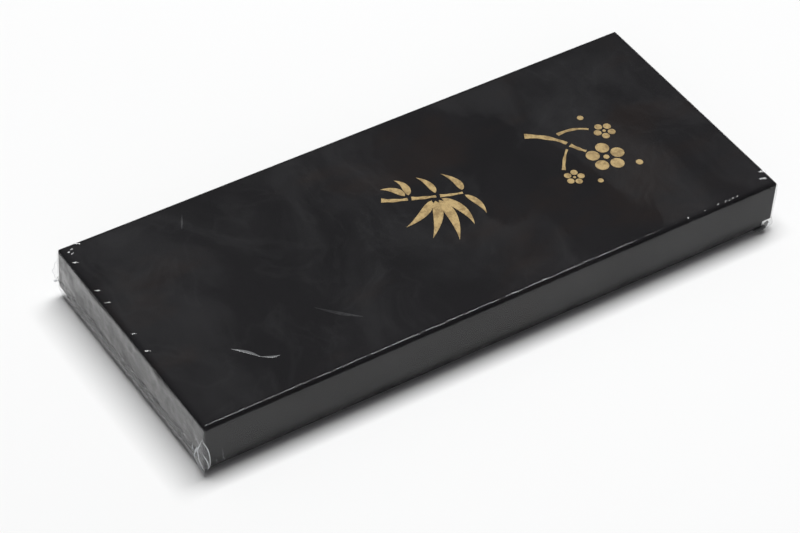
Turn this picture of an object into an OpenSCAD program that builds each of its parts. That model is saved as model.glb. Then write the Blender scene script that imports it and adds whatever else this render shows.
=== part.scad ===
// A boxed ink stick: a black paper-covered lid-and-base box, sealed in clear shrink film,
// with a satin-covered insert that holds one moulded ink stick.
// The origin is at the middle of the underside. +X runs along the box, towards the end
// that the ornaments point to. +Z is up.

/* [Box] */
// Length over the film
box_l = 180; // [160:1:220]
// Width over the film
box_w = 74.6; // [68:0.1:100]
// Height over the film
box_h = 17.2; // [17:0.1:24]
// Radius of the film's outer edges and corners
edge_r = 0.8; // [0.7:0.1:1.5]
// Height of the lid's lower rim above the surface the box lies on
lid_rim_z = 3.8; // [3:0.1:5]

/* [Sheet stock] */
// Thickness of the box board
board_t = 0.8; // [0.6:0.1:1]
// Thickness of the covering and lining papers
paper_t = 0.15; // [0.1:0.05:0.2]
// Depth of the paper turned in over each rim
turn_in = 8; // [6:0.5:9]
// Sliding gap between the lid and the base, on each side
lid_gap = 0.25; // [0.2:0.05:0.5]
// Leg length of the paper stay at each corner
stay_leg = 9; // [6:0.5:14]

/* [Film] */
// Thickness of the film
film_t = 0.1; // [0.08:0.01:0.12]
// Gap between the film and the lid
film_gap = 0.15; // [0.13:0.01:0.3]
// Height of the weld that joins the two halves of the film
seam_z = 6.5; // [5.5:0.1:9]

/* [Ink stick] */
// Length of the ink stick
stick_l = 128; // [90:1:140]
// Width of the ink stick
stick_w = 28; // [20:1:32]
// Thickness of the ink stick
stick_t = 11; // [8:0.5:11]
// Radius of the ink stick's edges
stick_r = 1.5; // [0.8:0.1:2.5]
// Depth of the sunk panel in the ink stick's face
panel_d = 0.4; // [0.2:0.1:1]

/* [Insert] */
// Thickness of the foam platform
platform_t = 10.8; // [8:0.1:11.5]
// Thickness of the satin
satin_t = 0.2; // [0.15:0.05:0.3]
// Thickness of the pad under the ink stick
pad_t = 2; // [1:0.1:2.2]
// Width of the lifting ribbon
ribbon_w = 12; // [6:1:20]

/* [Ornaments] */
// Distance of the bamboo spray from the middle of the box
bamboo_x = 4; // [-10:1:15]
// Distance of the plum sprig from the middle of the box
plum_x = 52; // [45:1:65]
// Size of both ornaments against the drawn size
ornament_k = 1; // [0.6:0.05:1.1]

/* [Hidden] */
$fn = 48;

// How far a cutting solid runs past the face that it opens
cut = 1;

// The lid, from its covering paper inwards
lid_l = box_l - 2 * (film_t + film_gap);
lid_w = box_w - 2 * (film_t + film_gap);
lid_top = box_h - film_t - film_gap;
lid_r = edge_r - film_t - film_gap;
lid_in_l = lid_l - 2 * (2 * paper_t + board_t);
lid_in_w = lid_w - 2 * (2 * paper_t + board_t);
lid_in_z = lid_top - 2 * paper_t - board_t;

// The base, which the lid slides over
head_gap = 0.35;
base_l = lid_in_l - 2 * lid_gap;
base_w = lid_in_w - 2 * lid_gap;
base_z = film_t;
base_top = lid_in_z - head_gap;
base_r = 0.5;
base_in_l = base_l - 2 * (2 * paper_t + board_t);
base_in_w = base_w - 2 * (2 * paper_t + board_t);
floor_z = base_z + 2 * paper_t + board_t;

// The film where it is drawn in under the lid
tuck_l = base_l + 2 * (film_t + film_gap);
tuck_w = base_w + 2 * (film_t + film_gap);
ledge_z = lid_rim_z - film_gap;
seam_gap = 0.1;

// Corner stays
stay_t = 0.1;
stay_end_gap = 1.5;

// The insert
insert_gap = 0.35;
satin_l = base_in_l - 2 * insert_gap;
satin_w = base_in_w - 2 * insert_gap;
satin_top = floor_z + platform_t + satin_t;
well_gap = 1.2;
well_l = stick_l + 2 * well_gap;
well_w = stick_w + 2 * well_gap;
well_r = 1;
pad_gap = 0.4;
pad_top = floor_z + pad_t;

// The ribbon
ribbon_t = 0.25;
ribbon_tab = 17;
ribbon_notch = 4;
ribbon_start = 14;

// The ink stick
stick_rest_gap = 0.05;
stick_z = pad_top + ribbon_t + stick_rest_gap;
panel_margin = 3;
inlay_t = 0.2;
inlay_margin = 1.2;
inlay_line = 0.7;
inlay_k = 0.56;

// The foil ornaments
foil_t = 0.08;
stroke_steps = 14;

echo(step_under_lid = (box_l - tuck_l) / 2, stick_top = stick_z + stick_t, lid_inside = lid_in_z);

// ---- shared shapes ----

// A rectangle with round corners, centred
module round_rect(l, w, r) {
    square([l - 2 * r, w], center = true);
    square([l, w - 2 * r], center = true);
    for (x = [-1, 1], y = [-1, 1])
        translate([x * (l / 2 - r), y * (w / 2 - r)]) circle(r);
}

// A block from z0 to z1 with round upright edges
module block(l, w, z0, z1, r) {
    translate([0, 0, z0]) linear_extrude(z1 - z0) round_rect(l, w, r);
}

// A rod along X or Y whose axis is centred at the given place
module rod_x(len, y, z, r) {
    translate([-len / 2, y, z]) rotate([0, 90, 0]) cylinder(r = r, h = len);
}
module rod_y(len, x, z, r) {
    translate([x, -len / 2, z]) rotate([-90, 0, 0]) cylinder(r = r, h = len);
}

// The rods and balls that round the edges of a block, with their centres at height z
module soft_edge(l, w, z, r) {
    for (s = [-1, 1]) {
        rod_x(l - 2 * r, s * (w / 2 - r), z, r);
        rod_y(w - 2 * r, s * (l / 2 - r), z, r);
    }
    for (x = [-1, 1], y = [-1, 1])
        translate([x * (l / 2 - r), y * (w / 2 - r), z]) sphere(r);
}

// A block from z0 to z1 with round upright edges and a round top edge
module soft_block(l, w, z0, z1, r) {
    block(l, w, z0, z1 - r, r);
    soft_edge(l, w, z1 - r, r);
    translate([0, 0, (z0 + z1) / 2]) cube([l - 2 * r, w - 2 * r, z1 - z0], center = true);
}

// A bar from z0 to z1 with every edge round
module soft_bar(l, w, z0, z1, r) {
    block(l, w, z0 + r, z1 - r, r);
    soft_edge(l, w, z0 + r, r);
    soft_edge(l, w, z1 - r, r);
    translate([0, 0, (z0 + z1) / 2]) cube([l - 2 * r, w - 2 * r, z1 - z0], center = true);
}

// An upright wall that follows a round rectangle, t thick, measured inwards
module ring(l, w, z0, z1, r, t) {
    difference() {
        block(l, w, z0, z1, r);
        block(l - 2 * t, w - 2 * t, z0 - cut, z1 + cut, max(r - t, 0.1));
    }
}

// The paper stays folded round the four corners of a board tray
module corner_stays(l, w, z0, z1, r) {
    intersection() {
        ring(l, w, z0, z1, r, stay_t);
        for (x = [-1, 1], y = [-1, 1])
            translate([x * l / 2, y * w / 2, (z0 + z1) / 2])
                cube([2 * stay_leg, 2 * stay_leg, z1 - z0 + cut], center = true);
    }
}

// ---- film ----

module film_upper() {
    color([0.85, 0.88, 0.9, 0.35])
    difference() {
        soft_block(box_l, box_w, seam_z + seam_gap, box_h, edge_r);
        soft_block(box_l - 2 * film_t, box_w - 2 * film_t, seam_z, box_h - film_t, edge_r - film_t);
    }
}

module film_lower() {
    color([0.8, 0.84, 0.87, 0.35])
    difference() {
        union() {
            block(tuck_l, tuck_w, 0, ledge_z, edge_r);
            block(box_l, box_w, ledge_z - film_t, seam_z, edge_r);
        }
        block(tuck_l - 2 * film_t, tuck_w - 2 * film_t, film_t, ledge_z + cut, edge_r - film_t);
        block(box_l - 2 * film_t, box_w - 2 * film_t, ledge_z, seam_z + cut, edge_r - film_t);
    }
}

// ---- lid ----

module lid_stay_set() {
    corner_stays(lid_l - 2 * paper_t, lid_w - 2 * paper_t, lid_rim_z + stay_end_gap,
        lid_top - stay_end_gap, lid_r - paper_t);
}

module lid_board() {
    color([0.62, 0.58, 0.52])
    difference() {
        soft_block(lid_l - 2 * paper_t, lid_w - 2 * paper_t, lid_rim_z + paper_t,
            lid_top - paper_t, lid_r - paper_t);
        block(lid_in_l + 2 * paper_t, lid_in_w + 2 * paper_t, lid_rim_z, lid_in_z + paper_t, 0.2);
        lid_stay_set();
    }
}

module lid_corner_stays() {
    color([0.72, 0.6, 0.42]) lid_stay_set();
}

module lid_wrap_paper() {
    color([0.05, 0.05, 0.055]) {
        difference() {
            soft_block(lid_l, lid_w, lid_rim_z, lid_top, lid_r);
            soft_block(lid_l - 2 * paper_t, lid_w - 2 * paper_t, lid_rim_z - cut,
                lid_top - paper_t, lid_r - paper_t);
        }
        ring(lid_l - paper_t, lid_w - paper_t, lid_rim_z, lid_rim_z + paper_t, lid_r,
            board_t + 1.5 * paper_t);
        ring(lid_in_l + 2 * paper_t, lid_in_w + 2 * paper_t, lid_rim_z, lid_rim_z + turn_in, 0.2,
            paper_t);
    }
}

module lid_lining_paper() {
    color([0.93, 0.91, 0.86])
    difference() {
        block(lid_in_l + 2 * paper_t, lid_in_w + 2 * paper_t, lid_rim_z + turn_in,
            lid_in_z + paper_t, 0.2);
        block(lid_in_l, lid_in_w, lid_rim_z, lid_in_z, 0.1);
    }
}

// ---- ornaments ----

// A brush stroke runs along the quadratic curve through the three points of path
function along(path, t) =
    (1 - t) * (1 - t) * path[0] + 2 * t * (1 - t) * path[1] + t * t * path[2];
function heading(path, t) =
    (1 - t) * (path[1] - path[0]) + t * (path[2] - path[1]);
function sideways(path, t) =
    let (h = heading(path, t)) [-h[1], h[0]] / norm(h);

// A leaf is fattest a third of the way along and pointed at both ends
function leaf_width(t) = sin(180 * pow(t, 0.65)) / 2;
// A twig is blunt, thicker at its foot
function twig_width(t) = (1 - 0.45 * t + 0.12 * cos(720 * t)) / 2;

module leaf(path, width) {
    polygon([
        for (i = [0 : stroke_steps])
            let (t = i / stroke_steps) along(path, t) + width * leaf_width(t) * sideways(path, t),
        for (i = [stroke_steps - 1 : -1 : 1])
            let (t = i / stroke_steps) along(path, t) - width * leaf_width(t) * sideways(path, t)
    ]);
}

module twig(path, width) {
    polygon([
        for (i = [0 : stroke_steps])
            let (t = i / stroke_steps) along(path, t) + width * twig_width(t) * sideways(path, t),
        for (i = [stroke_steps : -1 : 0])
            let (t = i / stroke_steps) along(path, t) - width * twig_width(t) * sideways(path, t)
    ]);
}

// Five round petals about a small eye, none of them touching
module blossom(at, size, turn) {
    petal_r = 0.3;
    petal_at = 0.58;
    eye_r = 0.13;
    translate(at) {
        for (i = [0 : 4])
            rotate(turn + 72 * i) translate([petal_at * size, 0]) circle(petal_r * size);
        circle(eye_r * size);
    }
}

// The stalk's joints, then the leaves of each spray: [start, bend, tip, width]
bamboo_stalk = [
    [[-10.5, -11], [-8.6, -8.4], [-7.4, -4.6], 1.5],
    [[-7.1, -3.6], [-5.6, -0.6], [-4.6, 2.6], 1.3],
    [[-4.2, 3.6], [-3, 6.2], [-2.2, 9.6], 1.1]
];
bamboo_leaves = [
    [[-3.2, 3.4], [3, 7.4], [9.6, 5.4], 2.6],
    [[-3, 2.4], [4.2, 3.4], [12.6, -1.4], 2.9],
    [[-3.2, 1.4], [2.6, -0.2], [8.6, -7.2], 2.8],
    [[-3.8, 0.6], [0.2, -3.6], [1.6, -11], 2.5],
    [[-8.6, -3.6], [-12.4, -1.4], [-15.4, -3.8], 2.1],
    [[-8.8, -4.6], [-12.6, -4.8], [-14.2, -9], 2.1],
    [[-1.2, 9.6], [3.4, 12], [7.6, 10.6], 1.9],
    [[-3.2, 10], [-6.6, 11.8], [-11.4, 8.6], 2.1],
    [[-5.8, 3.2], [-10, 4.4], [-13.4, 2], 1.9]
];

// The bamboo spray, drawn with its tip up the page
module bamboo(k) {
    for (s = bamboo_stalk) twig([s[0] * k, s[1] * k, s[2] * k], s[3] * k);
    for (s = bamboo_leaves) leaf([s[0] * k, s[1] * k, s[2] * k], s[3] * k);
}

plum_twigs = [
    [[-12.6, -11], [-9.4, -5.2], [-4.4, -2.6], 1.8],
    [[-3.4, -2.2], [-0.6, -1], [0.8, 0.2], 1.3],
    [[-8.6, -2.8], [-9.2, 2.6], [-6.2, 6], 1.1],
    [[4, -9.6], [0.6, -7.4], [-2.4, -4], 1]
];
plum_blossoms = [
    [[5.4, 3.6], 6.4, 18],
    [[-3.6, 9.4], 3.6, 50],
    [[7.8, -8.8], 3.3, 5]
];
plum_buds = [
    [[11.6, 10.2], 1],
    [[-11.2, 6.8], 0.9],
    [[12.4, -3.4], 0.8]
];

// The plum sprig, drawn with its tip up the page
module plum(k) {
    for (s = plum_twigs) twig([s[0] * k, s[1] * k, s[2] * k], s[3] * k);
    for (b = plum_blossoms) blossom(b[0] * k, b[1] * k, b[2]);
    for (b = plum_buds) translate(b[0] * k) circle(b[1] * k);
}

module bamboo_foil() {
    color([0.8, 0.66, 0.4])
    translate([bamboo_x, 0, lid_top]) rotate([0, 0, -90])
        linear_extrude(foil_t) bamboo(ornament_k);
}

module plum_foil() {
    color([0.8, 0.66, 0.4])
    translate([plum_x, 0, lid_top]) rotate([0, 0, -90])
        linear_extrude(foil_t) plum(ornament_k);
}

// ---- base ----

module base_stay_set() {
    corner_stays(base_l - 2 * paper_t, base_w - 2 * paper_t, base_z + stay_end_gap,
        base_top - stay_end_gap, base_r - paper_t);
}

module base_board() {
    color([0.62, 0.58, 0.52])
    difference() {
        block(base_l - 2 * paper_t, base_w - 2 * paper_t, base_z + paper_t, base_top - paper_t,
            base_r - paper_t);
        block(base_in_l + 2 * paper_t, base_in_w + 2 * paper_t, floor_z - paper_t, base_top, 0.2);
        base_stay_set();
    }
}

module base_corner_stays() {
    color([0.72, 0.6, 0.42]) base_stay_set();
}

module base_wrap_paper() {
    color([0.05, 0.05, 0.055]) {
        difference() {
            block(base_l, base_w, base_z, base_top, base_r);
            block(base_l - 2 * paper_t, base_w - 2 * paper_t, base_z + paper_t, base_top + cut,
                base_r - paper_t);
        }
        ring(base_l - paper_t, base_w - paper_t, base_top - paper_t, base_top, base_r,
            board_t + 1.5 * paper_t);
        ring(base_in_l + 2 * paper_t, base_in_w + 2 * paper_t, base_top - turn_in, base_top, 0.2,
            paper_t);
    }
}

module base_lining_paper() {
    color([0.93, 0.91, 0.86])
    difference() {
        block(base_in_l + 2 * paper_t, base_in_w + 2 * paper_t, floor_z - paper_t,
            base_top - turn_in, 0.2);
        block(base_in_l, base_in_w, floor_z, base_top, 0.1);
    }
}

// ---- insert ----

module insert_platform() {
    color([0.92, 0.92, 0.88])
    difference() {
        block(satin_l - 2 * satin_t, satin_w - 2 * satin_t, floor_z, floor_z + platform_t, 0.8);
        block(well_l + 2 * satin_t, well_w + 2 * satin_t, floor_z - cut, satin_top + cut,
            well_r + satin_t);
    }
}

module insert_satin() {
    color([0.78, 0.6, 0.25]) {
        difference() {
            block(satin_l, satin_w, floor_z, satin_top, 1);
            block(satin_l - 2 * satin_t, satin_w - 2 * satin_t, floor_z - cut,
                floor_z + platform_t, 0.8);
            block(well_l, well_w, floor_z - cut, satin_top + cut, well_r);
        }
        ring(well_l + 2 * satin_t, well_w + 2 * satin_t, floor_z, satin_top, well_r + satin_t,
            satin_t);
    }
}

module stick_pad() {
    color([0.95, 0.94, 0.9])
    block(well_l - 2 * pad_gap, well_w - 2 * pad_gap, floor_z, pad_top, well_r);
}

// The ribbon lies over the pad, climbs the far wall of the well and ends in a forked tab
module lift_ribbon() {
    wall_y = well_w / 2;
    tab_end = wall_y + ribbon_tab;
    color([0.6, 0.08, 0.1]) {
        translate([-ribbon_w / 2, -ribbon_start, pad_top])
            cube([ribbon_w, ribbon_start + wall_y, ribbon_t]);
        translate([-ribbon_w / 2, wall_y - ribbon_t, pad_top])
            cube([ribbon_w, ribbon_t, satin_top + ribbon_t - pad_top]);
        translate([0, 0, satin_top]) linear_extrude(ribbon_t)
            polygon([
                [-ribbon_w / 2, wall_y - ribbon_t], [ribbon_w / 2, wall_y - ribbon_t],
                [ribbon_w / 2, tab_end], [0, tab_end - ribbon_notch], [-ribbon_w / 2, tab_end]
            ]);
    }
}

// ---- ink stick ----

module ink_stick() {
    color([0.07, 0.07, 0.08])
    difference() {
        soft_bar(stick_l, stick_w, stick_z, stick_z + stick_t, stick_r);
        block(stick_l - 2 * panel_margin, stick_w - 2 * panel_margin,
            stick_z + stick_t - panel_d, stick_z + stick_t + cut, 2);
    }
}

module stick_gold_inlay() {
    line_l = stick_l - 2 * (panel_margin + inlay_margin);
    line_w = stick_w - 2 * (panel_margin + inlay_margin);
    panel_z = stick_z + stick_t - panel_d;
    color([0.85, 0.68, 0.35]) {
        ring(line_l, line_w, panel_z, panel_z + inlay_t, 1.5, inlay_line);
        translate([0, 0, panel_z]) rotate([0, 0, -90]) linear_extrude(inlay_t) bamboo(inlay_k);
    }
}

film_upper();
film_lower();
lid_board();
lid_corner_stays();
lid_wrap_paper();
lid_lining_paper();
bamboo_foil();
plum_foil();
base_board();
base_corner_stays();
base_wrap_paper();
base_lining_paper();
insert_platform();
insert_satin();
stick_pad();
lift_ribbon();
ink_stick();
stick_gold_inlay();
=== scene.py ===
import math

import bmesh
import bpy
from mathutils import Matrix, Vector, noise


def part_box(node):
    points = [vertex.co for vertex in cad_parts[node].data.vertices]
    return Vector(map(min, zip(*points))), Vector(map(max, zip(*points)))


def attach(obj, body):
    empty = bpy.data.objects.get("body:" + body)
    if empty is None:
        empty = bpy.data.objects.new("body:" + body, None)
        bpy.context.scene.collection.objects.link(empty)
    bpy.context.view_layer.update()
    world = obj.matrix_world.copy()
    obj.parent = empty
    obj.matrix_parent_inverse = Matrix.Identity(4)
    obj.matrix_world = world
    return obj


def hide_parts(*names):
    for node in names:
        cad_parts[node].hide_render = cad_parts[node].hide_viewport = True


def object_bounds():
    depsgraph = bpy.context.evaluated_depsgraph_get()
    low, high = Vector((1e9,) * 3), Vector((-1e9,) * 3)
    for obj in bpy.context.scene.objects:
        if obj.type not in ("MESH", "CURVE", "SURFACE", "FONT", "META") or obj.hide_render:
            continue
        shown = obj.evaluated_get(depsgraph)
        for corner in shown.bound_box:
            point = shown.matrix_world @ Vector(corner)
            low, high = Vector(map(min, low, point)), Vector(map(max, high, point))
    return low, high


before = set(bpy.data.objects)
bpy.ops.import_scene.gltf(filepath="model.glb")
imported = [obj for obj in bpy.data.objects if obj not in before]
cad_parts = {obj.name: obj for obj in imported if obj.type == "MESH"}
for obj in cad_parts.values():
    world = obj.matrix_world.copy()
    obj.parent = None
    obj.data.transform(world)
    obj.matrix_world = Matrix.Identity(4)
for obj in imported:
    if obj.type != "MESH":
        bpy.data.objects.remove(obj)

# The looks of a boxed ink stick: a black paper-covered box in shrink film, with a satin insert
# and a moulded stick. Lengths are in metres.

cad_low, cad_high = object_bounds()
MM = 0.001

# -------- sizes from the frame

film_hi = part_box("film_upper")[1]
tray_lo, tray_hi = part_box("film_lower")
lid_lo, lid_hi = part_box("lid_wrap_paper")
base_lo, base_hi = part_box("base_wrap_paper")
lid_board_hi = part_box("lid_board")[1]
satin_lo, satin_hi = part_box("insert_satin")
pad_lo, pad_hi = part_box("stick_pad")
ribbon_lo, ribbon_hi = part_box("lift_ribbon")
stick_lo, stick_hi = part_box("ink_stick")
inlay_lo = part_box("stick_gold_inlay")[0]
lid_lining_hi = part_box("lid_lining_paper")[1]
base_lining_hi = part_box("base_lining_paper")[1]

# The film's section over the lid's top edges: a tight crease, a slanting run and a soft end. Each
# is an arc, as its radius in mm, its two angles and its steps.
EDGE = ((0.75, 90, 60, 6), (2.1, 60, 28, 8), (0.6, 28, 0, 4))
UPRIGHT_R = 0.45 * MM                  # radius of the film round its upright edges
FILM_T = 0.05 * MM                     # film thickness
LOOSE_FILM_T = 0.03 * MM               # the film where it is gathered or stands free
PAPER_T = lid_hi.x - lid_board_hi.x    # covering paper thickness
SEAM_Z = tray_hi.z                     # height of the weld
HALF_L, HALF_W, TOP_Z = film_hi.x, film_hi.y, film_hi.z
LID_IN_X = lid_lining_hi.x             # inner face of the lid's board
BASE_IN_X = base_lining_hi.x           # inner face of the base's board
TURN_IN = 8 * MM                       # how far the covering papers reach up or down inside
FOLD_R = 0.25 * MM                     # radius of their folds over a rim
WELL_X, WELL_Y = stick_hi.x + 1.2 * MM, stick_hi.y + 1.2 * MM    # half sides of the satin's well
SHARP_ANGLE = math.radians(42)         # edges steeper than this are shaded sharp

# Cells along X, along Y and round each corner
FILM_CELLS = (300, 124, 6)
WELD_CELLS = (340, 150, 6)
LID_PAPER_CELLS = (90, 37, 8)
BASE_PAPER_CELLS = (90, 37, 6)
SATIN_CELLS = (120, 40, 6)
PAD_CELLS = (60, 16, 6)
STICK_CELLS = (80, 18, 6)

# -------- mesh helpers


def arc(centre, radius, start, end, steps):
    """Points (out, z) along an arc, angles in degrees."""
    points = []
    for i in range(steps + 1):
        a = math.radians(start + (end - start) * i / steps)
        points.append((centre[0] + radius * math.cos(a), centre[1] + radius * math.sin(a)))
    return points


def line(a, b, step):
    """Points from a to b, without a itself."""
    n = max(1, round(math.dist(a, b) / step))
    return [tuple(p + (q - p) * i / n for p, q in zip(a, b)) for i in range(1, n + 1)]


def ring(hx, hy, r, z, nx, ny, nc):
    """Points anticlockwise round a rectangle with round corners, starting at +X, +Y."""
    cx, cy = hx - r, hy - r
    signs = ((1, 1), (-1, 1), (-1, -1), (1, -1))
    points = []
    for q, (sx, sy) in enumerate(signs):
        for i in range(nc + 1):
            a = math.radians(90 * (q + i / nc))
            points.append(Vector((sx * cx + r * math.cos(a), sy * cy + r * math.sin(a), z)))
        tx, ty = signs[(q + 1) % 4]
        n = nx if q % 2 == 0 else ny
        a = math.radians(90 * (q + 1))
        turn = Vector((r * math.cos(a), r * math.sin(a), z))
        start, end = Vector((sx * cx, sy * cy, 0)) + turn, Vector((tx * cx, ty * cy, 0)) + turn
        points += [start.lerp(end, i / n) for i in range(1, n)]
    return points


def join_rows(bm, rows, flip=False):
    """Fills the space between rows of equally many points with quads."""
    for a, b in zip(rows, rows[1:]):
        for k in range(len(a) - 1):
            quad = (a[k], a[k + 1], b[k + 1], b[k])
            bm.faces.new(quad[::-1] if flip else quad)


def cleaned(bm, reach):
    """Merges points closer than reach, drops faces that collapse, and renews the normals."""
    bmesh.ops.remove_doubles(bm, verts=bm.verts, dist=reach)
    bmesh.ops.dissolve_degenerate(bm, edges=bm.edges, dist=reach)
    bm.normal_update()
    return bm


def grid(bm, hx, hy, z, nx, ny, flip):
    """A flat grid of quads, facing up, or down with flip."""
    rows = [[bm.verts.new((hx * (2 * i / nx - 1), hy * (2 * j / ny - 1), z)) for i in range(nx + 1)]
            for j in range(ny + 1)]
    join_rows(bm, rows, flip)


def skin(rings, nx, ny, nc, cap_first=False, cap_last=False, flip=False):
    """A bmesh whose quads join rings of (half length, half width, corner radius, z) in turn.

    A cap is a grid over a ring whose corner radius is 0. Faces look outwards where the rings run
    from the top down, or where they run from the bottom up with flip.
    """
    bm = bmesh.new()
    made = [[bm.verts.new(p) for p in ring(*r, nx, ny, nc)] for r in rings]
    for upper, lower in zip(made, made[1:]):
        for i in range(len(upper)):
            k = (i + 1) % len(upper)
            quad = [upper[i], lower[i], lower[k], upper[k]]
            bm.faces.new(quad[::-1] if flip else quad)
    if cap_first:
        hx, hy, _, z = rings[0]
        grid(bm, hx, hy, z, nx, ny, flip)
    if cap_last:
        hx, hy, _, z = rings[-1]
        grid(bm, hx, hy, z, nx, ny, not flip)
    return cleaned(bm, 1e-7)


def displace(bm, height):
    """Moves each point along its normal by height(point, normal)."""
    moves = [(v, v.normal.copy() * height(v.co, v.normal)) for v in bm.verts]
    for v, move in moves:
        v.co += move
    bm.normal_update()


def placed(name, data):
    """A new object in the scene."""
    obj = bpy.data.objects.new(name, data)
    bpy.context.scene.collection.objects.link(obj)
    return obj


def piece(name, bm, material, body, replaced=(), thickness=None):
    """Turns a bmesh into a piece that rides on a body. thickness makes a sheet a closed shell."""
    mesh = bpy.data.meshes.new(name)
    bm.to_mesh(mesh)
    bm.free()
    obj = placed(name, mesh)
    if thickness:
        shell = obj.modifiers.new("shell", "SOLIDIFY")
        shell.thickness = thickness
        shell.offset = -1
        shell.use_even_offset = True
        shell.use_quality_normals = True
        ready = obj.evaluated_get(bpy.context.evaluated_depsgraph_get())
        mesh = bpy.data.meshes.new_from_object(ready)
        obj.modifiers.clear()
        obj.data = mesh
        mesh.name = name
    mesh.polygons.foreach_set("use_smooth", [True] * len(mesh.polygons))
    mesh.set_sharp_from_angle(angle=SHARP_ANGLE)
    mesh.materials.clear()
    mesh.materials.append(material)
    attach(obj, body)
    if replaced:
        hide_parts(*replaced)
    return obj


def fbm(p, size, octaves=3):
    """Smooth noise about -1 to 1, whose largest lumps are size wide."""
    return noise.fractal(Vector(p) / size, 1.0, 2.0, octaves, noise_basis="PERLIN_ORIGINAL")


def smooth_step(low, high, x):
    """Rises smoothly from 0 at low to 1 at high, and falls where high is below low."""
    t = min(max((x - low) / (high - low), 0.0), 1.0)
    return t * t * (3 - 2 * t)


# -------- material helpers


class Look:
    """A node tree for a new material or for the world, built by short calls that add one node each."""

    def __init__(self, name, world=None):
        self.owner = world or bpy.data.materials.new(name)
        self.owner.use_nodes = True
        self.tree = self.owner.node_tree
        self.tree.nodes.clear()
        self.out = self.tree.nodes.new("ShaderNodeOutputWorld" if world else "ShaderNodeOutputMaterial")
        self.place = self.add("ShaderNodeTexCoord").outputs["Generated" if world else "Object"]

    def add(self, kind, **inputs):
        node = self.tree.nodes.new(kind)
        for key, value in inputs.items():
            self.feed(node.inputs[key.replace("_", " ")], value)
        return node

    def feed(self, socket, value):
        if isinstance(value, bpy.types.NodeSocket):
            self.tree.links.new(value, socket)
        else:
            socket.default_value = value

    def stretched(self, scale, warp=None, turn=0.0):
        """The piece's own coordinates, scaled by three numbers per metre, turned about Z and pushed
        about by warp, a lump size and a strength."""
        place = self.place
        if warp is not None:
            size, strength = warp
            push = self.add("ShaderNodeTexNoise", Vector=place, Scale=size, Detail=2.0)
            shifted = self.add("ShaderNodeVectorMath")
            shifted.operation = "MULTIPLY_ADD"
            self.feed(shifted.inputs[0], push.outputs["Color"])
            shifted.inputs[1].default_value = (strength,) * 3
            self.feed(shifted.inputs[2], place)
            place = shifted.outputs[0]
        return self.add("ShaderNodeMapping", Vector=place, Scale=scale, Rotation=(0.0, 0.0, turn)).outputs[0]

    def noise(self, scale, detail=3.0, roughness=0.5, place=None, distortion=0.0):
        node = self.add("ShaderNodeTexNoise", Vector=place or self.place, Scale=scale,
                        Detail=detail, Roughness=roughness, Distortion=distortion)
        return node.outputs["Fac"]

    def cells(self, scale):
        return self.add("ShaderNodeTexVoronoi", Vector=self.place, Scale=scale).outputs["Distance"]

    def wave(self, scale, direction, distortion):
        node = self.add("ShaderNodeTexWave", Vector=self.place, Scale=scale, Distortion=distortion)
        node.bands_direction = direction
        return node.outputs["Fac"]

    def spread(self, value, low, high, to_low=0.0, to_high=1.0, easing="SMOOTHSTEP"):
        """value between low and high, eased and mapped to a new range."""
        node = self.add("ShaderNodeMapRange", Value=value)
        node.interpolation_type = easing
        for key, number in zip(("From Min", "From Max", "To Min", "To Max"),
                               (low, high, to_low, to_high)):
            self.feed(node.inputs[key], number)
        return node.outputs[0]

    def maths(self, operation, a, b=None, c=None):
        node = self.add("ShaderNodeMath")
        node.operation = operation
        for socket, value in zip(node.inputs, (a, b, c)):
            if value is not None:
                self.feed(socket, value)
        return node.outputs[0]

    def colour(self, factor, a, b):
        node = self.add("ShaderNodeMix")
        node.data_type = "RGBA"
        self.feed(node.inputs["Factor"], factor)
        for socket, value in zip(node.inputs[6:8], (a, b)):
            self.feed(socket, (*value, 1.0) if isinstance(value, tuple) else value)
        return node.outputs[2]

    def bump(self, height, strength, distance):
        node = self.add("ShaderNodeBump", Height=height, Strength=strength, Distance=distance)
        return node.outputs[0]

    def axes(self):
        """The piece's own x and y."""
        return self.add("ShaderNodeSeparateXYZ", Vector=self.place).outputs[:2]

    def blend(self, factor, first, second):
        """A mix of two shaders."""
        both = self.add("ShaderNodeMixShader", Fac=factor)
        self.tree.links.new(first.outputs[0], both.inputs[1])
        self.tree.links.new(second.outputs[0], both.inputs[2])
        return both

    def shade(self, shader):
        self.tree.links.new(shader.outputs[0], self.out.inputs["Surface"])
        return self.owner

    def finish(self, **inputs):
        """Ends in a Principled shader."""
        return self.shade(self.add("ShaderNodeBsdfPrincipled", **inputs))


# -------- materials


def black_paper():
    """Black covering paper: a fine felt grain, with a faint sheen that varies in cloudy patches."""
    look = Look("black_paper")
    grain = look.noise(3200, 2.0, 0.6)
    fibre = look.noise(900, 3.0, 0.6, look.stretched((1.0, 2.6, 1.0)))
    cloud = look.noise(38, 4.0, 0.55)
    smear = look.noise(24, 3.0, 0.6, look.stretched((1.0, 2.0, 1.0)))
    dark, light, warm = (0.0075, 0.0072, 0.0082), (0.0105, 0.0100, 0.0112), (0.0128, 0.0098, 0.0094)
    colour = look.colour(look.spread(cloud, 0.35, 0.7), dark, light)
    colour = look.colour(look.spread(smear, 0.52, 0.72), colour, warm)
    rough = look.spread(cloud, 0.3, 0.7, 0.6, 0.7)
    height = look.maths("ADD", look.maths("MULTIPLY", grain, 0.6), look.maths("MULTIPLY", fibre, 0.5))
    return look.finish(Base_Color=colour, Roughness=rough, Normal=look.bump(height, 0.08, 0.00004),
                       Specular_IOR_Level=0.05)


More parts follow.
